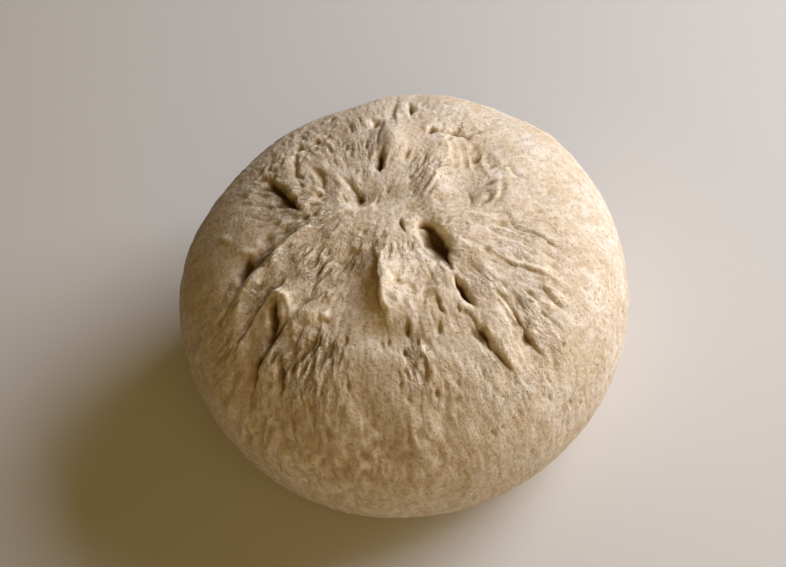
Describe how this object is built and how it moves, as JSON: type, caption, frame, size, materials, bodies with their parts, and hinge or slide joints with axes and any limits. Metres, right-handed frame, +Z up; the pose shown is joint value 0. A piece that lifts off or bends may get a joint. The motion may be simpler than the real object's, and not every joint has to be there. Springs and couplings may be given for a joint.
{
  "type": "bread dough",
  "caption": "Round ball of raw risen bread dough, seam side up, with gathered folds and tears round its crown and a small flat base to rest on.",
  "frame": {"origin": "middle of the small flat base, on the surface that the dough rests on", "axes": "+Z up to the gathered crown; +X to the right and -Y towards the viewer in the pictured view"},
  "size_m": [0.1522, 0.1526, 0.0919],
  "materials": {
    "dough": "dull, floury raw dough skin"
  },
  "bodies": {
    "root": {"dough": "dough"}
  },
  "joints": []
}
